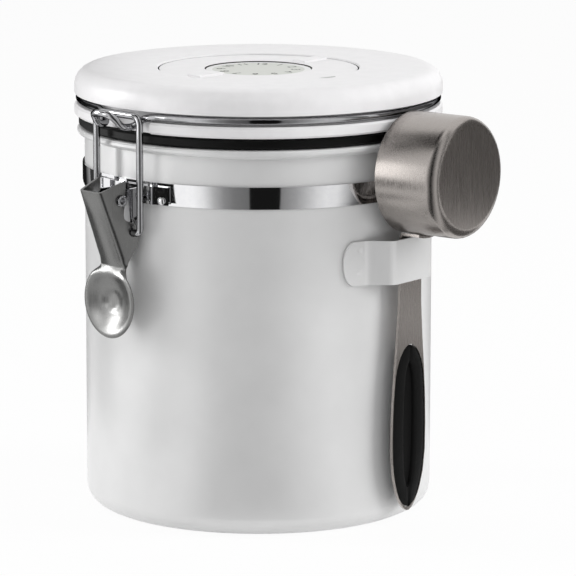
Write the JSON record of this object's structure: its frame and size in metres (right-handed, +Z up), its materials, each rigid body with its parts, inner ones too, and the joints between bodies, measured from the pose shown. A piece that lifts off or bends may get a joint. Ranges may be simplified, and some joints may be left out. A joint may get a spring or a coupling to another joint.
{
  "type": "coffee canister",
  "caption": "Round steel coffee canister with a wire-clamped hinged lid, a date dial and vent in the lid, and a measuring scoop that hangs on the side.",
  "frame": {"origin": "middle of the can's flat base, on the surface it stands on", "axes": "+Z up, -Y towards the lid clamp, +Y towards the lid hinge, scoop near +X"},
  "size_m": [0.1566, 0.152, 0.1548],
  "materials": {
    "body_coat": "satin white powder coat on steel",
    "band_steel": "polished stainless steel",
    "bracket_steel": "polished stainless steel",
    "rivet_steel": "polished stainless steel",
    "pin_steel": "polished stainless steel",
    "lid_plastic": "white injection-moulded plastic, semi-gloss",
    "screw_steel": "plain stainless steel",
    "seal_silicone": "matte black silicone",
    "chrome_wire": "bright drawn stainless wire",
    "lever_steel": "satin pressed stainless steel",
    "scoop_steel": "brushed stainless steel",
    "grip_silicone": "matte black silicone, fine grain"
  },
  "bodies": {
    "can": {"canister_body": "body_coat", "neck_band": "band_steel", "latch_bracket": "bracket_steel", "latch_rivet_left": "rivet_steel", "latch_rivet_right": "rivet_steel", "latch_pivot_pin": "pin_steel", "hinge_bracket": "bracket_steel", "hinge_rivet_left": "rivet_steel", "hinge_rivet_right": "rivet_steel", "hinge_pin": "pin_steel", "scoop_holder": "body_coat"},
    "lid": {"lid_cover": "lid_plastic", "lid_base": "lid_plastic", "lid_inner_plate": "lid_plastic", "lid_screw_1": "screw_steel", "lid_screw_2": "screw_steel", "lid_screw_3": "screw_steel", "lid_screw_4": "screw_steel", "lid_seal": "seal_silicone", "lid_wire": "chrome_wire", "valve_guard": "lid_plastic", "valve_cap": "lid_plastic"},
    "flap": {"valve_flap": "seal_silicone"},
    "outer_dial": {"date_ring": "lid_plastic"},
    "inner_dial": {"month_disc": "lid_plastic", "dial_screw": "screw_steel"},
    "clamp_lever": {"latch_lever": "lever_steel"},
    "clamp_loop": {"latch_link": "chrome_wire"},
    "scoop": {"scoop_cup": "scoop_steel", "scoop_handle": "scoop_steel", "scoop_grip": "grip_silicone"}
  },
  "joints": [
    {"name": "lid_hinge", "type": "hinge", "parent": "can", "child": "lid", "pos_m": [0, 0.0693, 0.118], "axis": [-1, 0, 0], "range_deg": [0, 105]},
    {"name": "clamp_lever_pivot", "type": "hinge", "parent": "can", "child": "clamp_lever", "pos_m": [0, -0.0698, 0.1155], "axis": [-1, 0, 0], "range_deg": [0, 110]},
    {"name": "clamp_loop_pivot", "type": "hinge", "parent": "clamp_lever", "child": "clamp_loop", "pos_m": [0, -0.0653, 0.1042], "axis": [-1, 0, 0], "range_deg": [-85.8, 0]},
    {"name": "scoop_lift", "type": "slide", "parent": "can", "child": "scoop", "axis": [0, 0, 1], "range_m": [0, 0.105]},
    {"name": "outer_dial_turn", "type": "hinge", "parent": "lid", "child": "outer_dial", "pos_m": [0, 0, 0.1516], "axis": [0, 0, 1], "continuous": true},
    {"name": "inner_dial_turn", "type": "hinge", "parent": "lid", "child": "inner_dial", "pos_m": [0, 0, 0.1527], "axis": [0, 0, 1], "continuous": true},
    {"name": "valve_flap_lift", "type": "slide", "parent": "lid", "child": "flap", "axis": [0, 0, 1], "range_m": [0, 0.0012]}
  ],
  "couplings": [
    {"joint": "clamp_loop_pivot", "follows": "clamp_lever_pivot", "ratio": -0.78}
  ]
}
